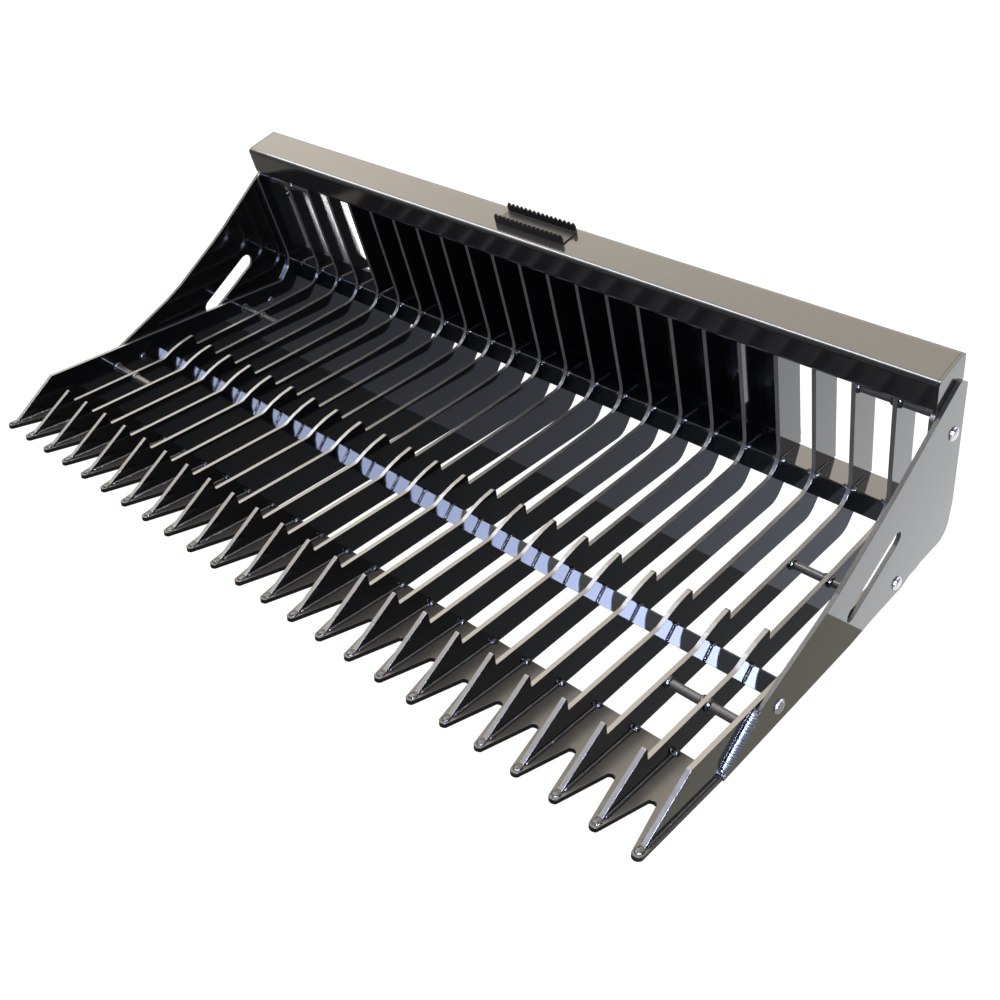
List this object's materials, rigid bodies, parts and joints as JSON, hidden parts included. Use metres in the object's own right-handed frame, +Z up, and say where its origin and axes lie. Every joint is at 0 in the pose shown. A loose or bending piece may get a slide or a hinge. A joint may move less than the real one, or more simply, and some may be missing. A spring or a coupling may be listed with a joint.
{
  "type": "skeleton rock bucket",
  "caption": "Skeleton rock bucket for a skid-steer loader: upright-backed sifting tines on a toothed cutting plate, with side plates, top tube and rear coupling.",
  "frame": {"origin": "on the ground, under the middle of the bounding box", "axes": "+X along the width, towards the right for a person who faces the teeth; -Y towards the tooth tips; +Z up from the ground the tines rest on"},
  "size_m": [2.0154, 1.1266, 0.5318],
  "materials": {
    "tine_paint": "gloss black paint, warm reflections on the cut edges",
    "edge_paint": "gloss black paint over a flame-cut edge",
    "tube_paint": "gloss black paint",
    "side_paint": "gloss black paint",
    "cross_paint": "gloss black paint",
    "coupler_paint": "gloss black paint",
    "step_paint": "gloss black paint",
    "pin_paint": "gloss black paint",
    "weld_paint": "gloss black paint over weld beads"
  },
  "bodies": {
    "root": {"tine_01": "tine_paint", "tine_02": "tine_paint", "tine_03": "tine_paint", "tine_04": "tine_paint", "tine_05": "tine_paint", "tine_06": "tine_paint", "tine_07": "tine_paint", "tine_08": "tine_paint", "tine_09": "tine_paint", "tine_10": "tine_paint", "tine_11": "tine_paint", "tine_12": "tine_paint", "tine_13": "tine_paint", "tine_14": "tine_paint", "tine_15": "tine_paint", "tine_16": "tine_paint", "tine_17": "tine_paint", "tine_18": "tine_paint", "tine_19": "tine_paint", "tine_20": "tine_paint", "tine_21": "tine_paint", "tine_22": "tine_paint", "tine_23": "tine_paint", "tine_24": "tine_paint", "cutting_plate": "edge_paint", "mid_angle_front": "cross_paint", "mid_angle_rear": "cross_paint", "rear_angle_top": "cross_paint", "rear_angle_leg": "cross_paint", "top_tube": "tube_paint", "tube_cap_left": "tube_paint", "tube_cap_right": "tube_paint", "side_plate_left": "side_paint", "side_plate_right": "side_paint", "side_pin_front_left": "pin_paint", "side_pin_middle_left": "pin_paint", "side_pin_rear_left": "pin_paint", "side_pin_front_right": "pin_paint", "side_pin_middle_right": "pin_paint", "side_pin_rear_right": "pin_paint", "tie_rod_front_left": "cross_paint", "tie_rod_middle_left": "cross_paint", "tie_rod_rear_left": "cross_paint", "tie_rod_front_right": "cross_paint", "tie_rod_middle_right": "cross_paint", "tie_rod_rear_right": "cross_paint", "step": "step_paint", "coupler_plate": "coupler_paint", "coupler_top_lip": "coupler_paint", "coupler_bottom_lip": "coupler_paint", "coupler_gusset_top_left": "coupler_paint", "coupler_gusset_top_right": "coupler_paint", "coupler_gusset_bottom_left": "coupler_paint", "coupler_gusset_bottom_right": "coupler_paint"}
  },
  "joints": []
}
